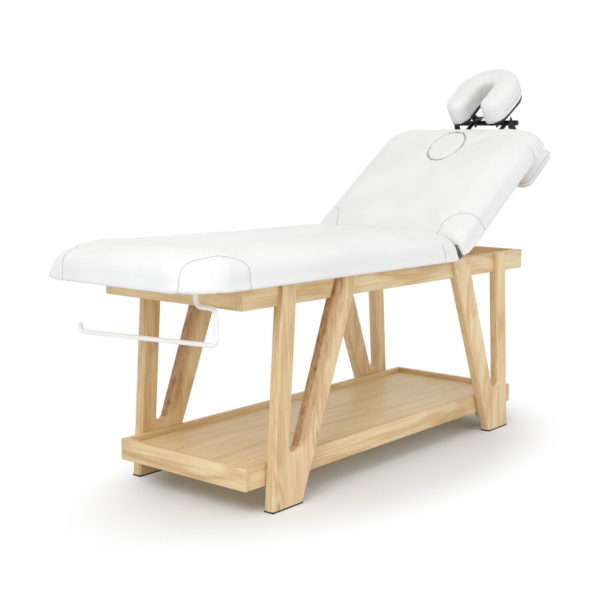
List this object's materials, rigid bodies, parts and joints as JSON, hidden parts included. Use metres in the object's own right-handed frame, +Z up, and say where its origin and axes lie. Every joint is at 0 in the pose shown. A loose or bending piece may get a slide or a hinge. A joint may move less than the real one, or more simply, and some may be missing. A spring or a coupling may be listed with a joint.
{
  "type": "treatment bed",
  "caption": "Treatment bed on an open wooden base with a shelf, V-shaped legs, a white upholstered seat, a lifting backrest, a face cradle, an arm shelf and a paper roll bar.",
  "frame": {"origin": "on the floor under the middle of the whole bed", "axes": "+X from the foot end to the head end, -Y the near long side with the roll bar's stem, +Z up"},
  "size_m": [2.0408, 0.654, 1.3178],
  "materials": {
    "wood": "satin lacquer",
    "plywood": "satin lacquer",
    "upholstery": "smooth, satin",
    "foot_rubber": "matte",
    "screw_steel": "zinc",
    "hinge_steel": "black, satin",
    "black_plastic": "fine grain",
    "black_metal": "black, satin",
    "webbing": "woven",
    "white_metal": "white, gloss",
    "white_plastic": "smooth"
  },
  "bodies": {
    "base": {"far_rail": "wood", "near_rail": "wood", "head_rail": "wood", "foot_rail": "wood", "cross_rails": "wood", "corner_blocks": "wood", "near_foot_leg": "wood", "far_foot_leg": "wood", "near_head_leg": "wood", "far_head_leg": "wood", "foot_pads": "foot_rubber", "leg_bolts": "screw_steel", "tray_far_rim": "wood", "tray_near_rim": "wood", "tray_head_rim": "wood", "tray_foot_rim": "wood", "tray_panel": "plywood", "tray_cleats": "wood", "seat_board": "plywood", "seat_cushion": "upholstery", "hinge_seat_arm_near": "hinge_steel", "hinge_seat_arm_far": "hinge_steel", "hinge_pins": "screw_steel", "stay_blocks": "wood", "stay_bolts": "screw_steel", "roll_bar_socket": "white_plastic"},
    "back": {"back_board": "plywood", "back_cushion": "upholstery", "back_battens": "wood", "hinge_back_arm_near": "hinge_steel", "hinge_back_arm_far": "hinge_steel", "stay_plate_near": "hinge_steel", "stay_plate_far": "hinge_steel", "head_batten": "wood", "rod_sockets": "black_plastic", "arm_shelf_pad": "upholstery", "front_straps": "webbing", "rear_straps": "webbing"},
    "plug": {"face_hole_plug": "upholstery"},
    "cradle_frame": {"cradle_rods": "black_metal", "cradle_crossbar": "black_metal", "cradle_lower_brackets": "black_metal", "cradle_pin": "screw_steel"},
    "cradle_top": {"cradle_plate": "black_plastic", "cradle_cushion": "upholstery", "cradle_upper_brackets": "black_metal"},
    "cam_lever": {"cradle_cam_lever": "black_plastic"},
    "stay_knob_near": {"stay_knob_near": "black_plastic"},
    "stay_knob_far": {"stay_knob_far": "black_plastic"},
    "clamp_knob_near": {"cradle_clamp_knob_near": "black_plastic"},
    "clamp_knob_far": {"cradle_clamp_knob_far": "black_plastic"},
    "roll_bar": {"roll_bar": "white_metal"}
  },
  "joints": [
    {"name": "back_tilt", "type": "hinge", "parent": "base", "child": "back", "pos_m": [0.19152, 0, 0.68], "axis": [0, -1, 0], "range_deg": [-35.45, 24.5]},
    {"name": "plug_lift", "type": "slide", "parent": "back", "child": "plug", "axis": [-0.5807, 0, 0.8141], "range_m": [0, 0.1]},
    {"name": "cradle_slide", "type": "slide", "parent": "back", "child": "cradle_frame", "axis": [0.8141, 0, 0.5807], "range_m": [0, 0.08]},
    {"name": "cradle_tilt", "type": "hinge", "parent": "cradle_frame", "child": "cradle_top", "pos_m": [0.85338, 0, 1.1263], "axis": [0, 1, 0], "range_deg": [-25, 8]},
    {"name": "cam_lever_turn", "type": "hinge", "parent": "cradle_frame", "child": "cam_lever", "pos_m": [0.85338, -0.06, 1.1263], "axis": [0, 1, 0], "range_deg": [0, 35]},
    {"name": "stay_knob_near_turn", "type": "hinge", "parent": "base", "child": "stay_knob_near", "pos_m": [0.25841, -0.216, 0.61978], "axis": [0, 1, 0], "range_deg": [0, 270]},
    {"name": "stay_knob_far_turn", "type": "hinge", "parent": "base", "child": "stay_knob_far", "pos_m": [0.25841, 0.216, 0.61978], "axis": [0, -1, 0], "range_deg": [0, 270]},
    {"name": "clamp_knob_near_turn", "type": "hinge", "parent": "back", "child": "clamp_knob_near", "pos_m": [0.72645, -0.075, 0.96329], "axis": [-0.5807, 0, 0.8141], "range_deg": [0, 270]},
    {"name": "clamp_knob_far_turn", "type": "hinge", "parent": "back", "child": "clamp_knob_far", "pos_m": [0.72645, 0.075, 0.96329], "axis": [-0.5807, 0, 0.8141], "range_deg": [0, 270]},
    {"name": "roll_bar_swing", "type": "hinge", "parent": "base", "child": "roll_bar", "pos_m": [-0.90343, -0.205, 0.592], "axis": [0, 0, 1], "range_deg": [0, 90]}
  ]
}
